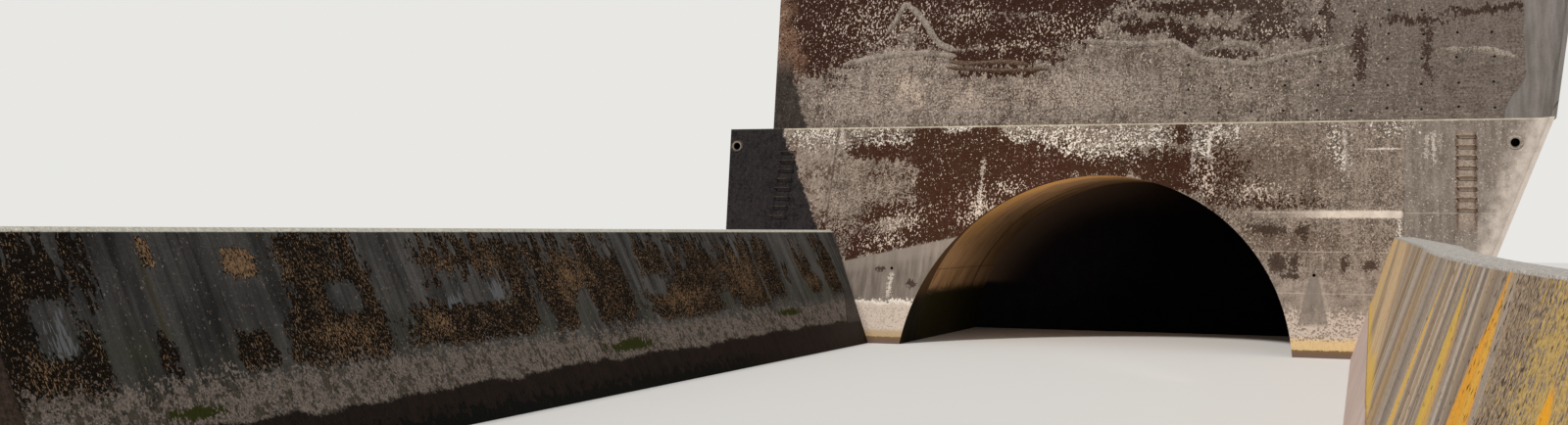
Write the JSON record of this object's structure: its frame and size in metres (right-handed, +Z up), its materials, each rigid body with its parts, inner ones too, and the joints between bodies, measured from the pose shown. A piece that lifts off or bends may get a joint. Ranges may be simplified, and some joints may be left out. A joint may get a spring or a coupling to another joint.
{
  "type": "culvert headwall",
  "caption": "Battered concrete headwall round an arched culvert mouth, with a set-back upper wall, step irons, drains and the walls of its approach channel.",
  "frame": {"origin": "point on the barrel's axis at water level, in line with the toe of the headwall's face", "axes": "+Z up, +Y along the barrel into the hill, +X to the right seen from the channel"},
  "size_m": [24.15, 39.7, 11],
  "materials": {
    "headwall_concrete": "weathered cast concrete with dark growth",
    "upper_wall_concrete": "rough cast concrete with dark growth",
    "barrel_concrete": "smooth brown stained concrete",
    "left_wall_concrete": "weathered concrete with growth and a wet band",
    "right_wall_concrete": "pale concrete streaked with yellow lichen",
    "mortar": "pale mortar",
    "clay_pipe": "matte clay",
    "rusted_steel": "rusted"
  },
  "bodies": {
    "root": {"barrel_1_left_wall": "barrel_concrete", "barrel_1_right_wall": "barrel_concrete", "barrel_1_vault": "barrel_concrete", "barrel_2_left_wall": "barrel_concrete", "barrel_2_right_wall": "barrel_concrete", "barrel_2_vault": "barrel_concrete", "barrel_end_bulkhead": "barrel_concrete", "drain_collar_left": "mortar", "drain_collar_right": "mortar", "drain_pipe_left": "clay_pipe", "drain_pipe_right": "clay_pipe", "headwall_left_end": "headwall_concrete", "headwall_left_pier": "headwall_concrete", "headwall_right_end": "headwall_concrete", "headwall_right_pier": "headwall_concrete", "headwall_right_return": "headwall_concrete", "headwall_spandrel": "headwall_concrete", "left_wall_bay_1": "left_wall_concrete", "left_wall_bay_2": "left_wall_concrete", "left_wall_bay_3": "left_wall_concrete", "left_wall_bay_4": "left_wall_concrete", "left_wall_bay_5": "left_wall_concrete", "left_wall_bay_6": "left_wall_concrete", "right_wall_bay_1": "right_wall_concrete", "right_wall_bay_2": "right_wall_concrete", "right_wall_bay_3": "right_wall_concrete", "right_wall_bay_4": "right_wall_concrete", "right_wall_flare_1": "right_wall_concrete", "right_wall_flare_2": "right_wall_concrete", "step_irons_left": "rusted_steel", "step_irons_right": "rusted_steel", "upper_wall": "upper_wall_concrete", "upper_wall_right_return": "upper_wall_concrete", "weep_pipe_left": "clay_pipe", "weep_pipe_right": "clay_pipe"}
  },
  "joints": []
}
